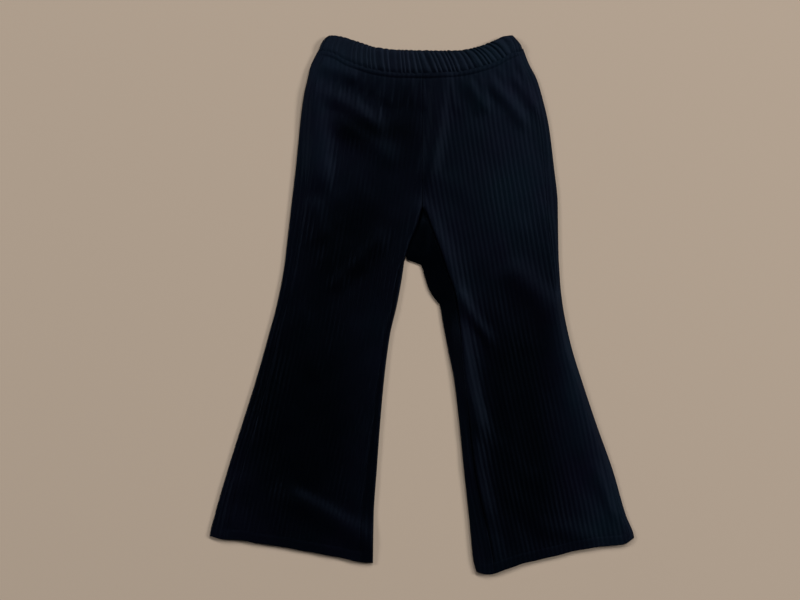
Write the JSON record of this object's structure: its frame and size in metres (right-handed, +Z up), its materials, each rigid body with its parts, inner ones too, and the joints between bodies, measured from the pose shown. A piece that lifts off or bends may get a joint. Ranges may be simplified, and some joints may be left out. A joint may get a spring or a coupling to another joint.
{
  "type": "ribbed flared leggings laid flat",
  "caption": "Small child's pull-on flared trousers in dark rib knit, laid flat with the front up, with a gathered elastic waist casing and turned hems.",
  "frame": {"origin": "on the surface that the garment lies on, under the middle of its box", "axes": "+X to the right as seen from above, towards the wearer's left leg, +Y towards the waist, +Z up from the surface"},
  "size_m": [0.4445, 0.5648, 0.007],
  "materials": {
    "rib_knit": "soft brushed rib knit, near black with a blue cast, ribs 5 mm apart",
    "gathered_rib_knit": "the same rib knit, doubled and gathered over elastic"
  },
  "bodies": {
    "root": {"front_right": "rib_knit", "front_left": "rib_knit", "back_right": "rib_knit", "back_left": "rib_knit", "waist_casing": "gathered_rib_knit"}
  },
  "joints": []
}
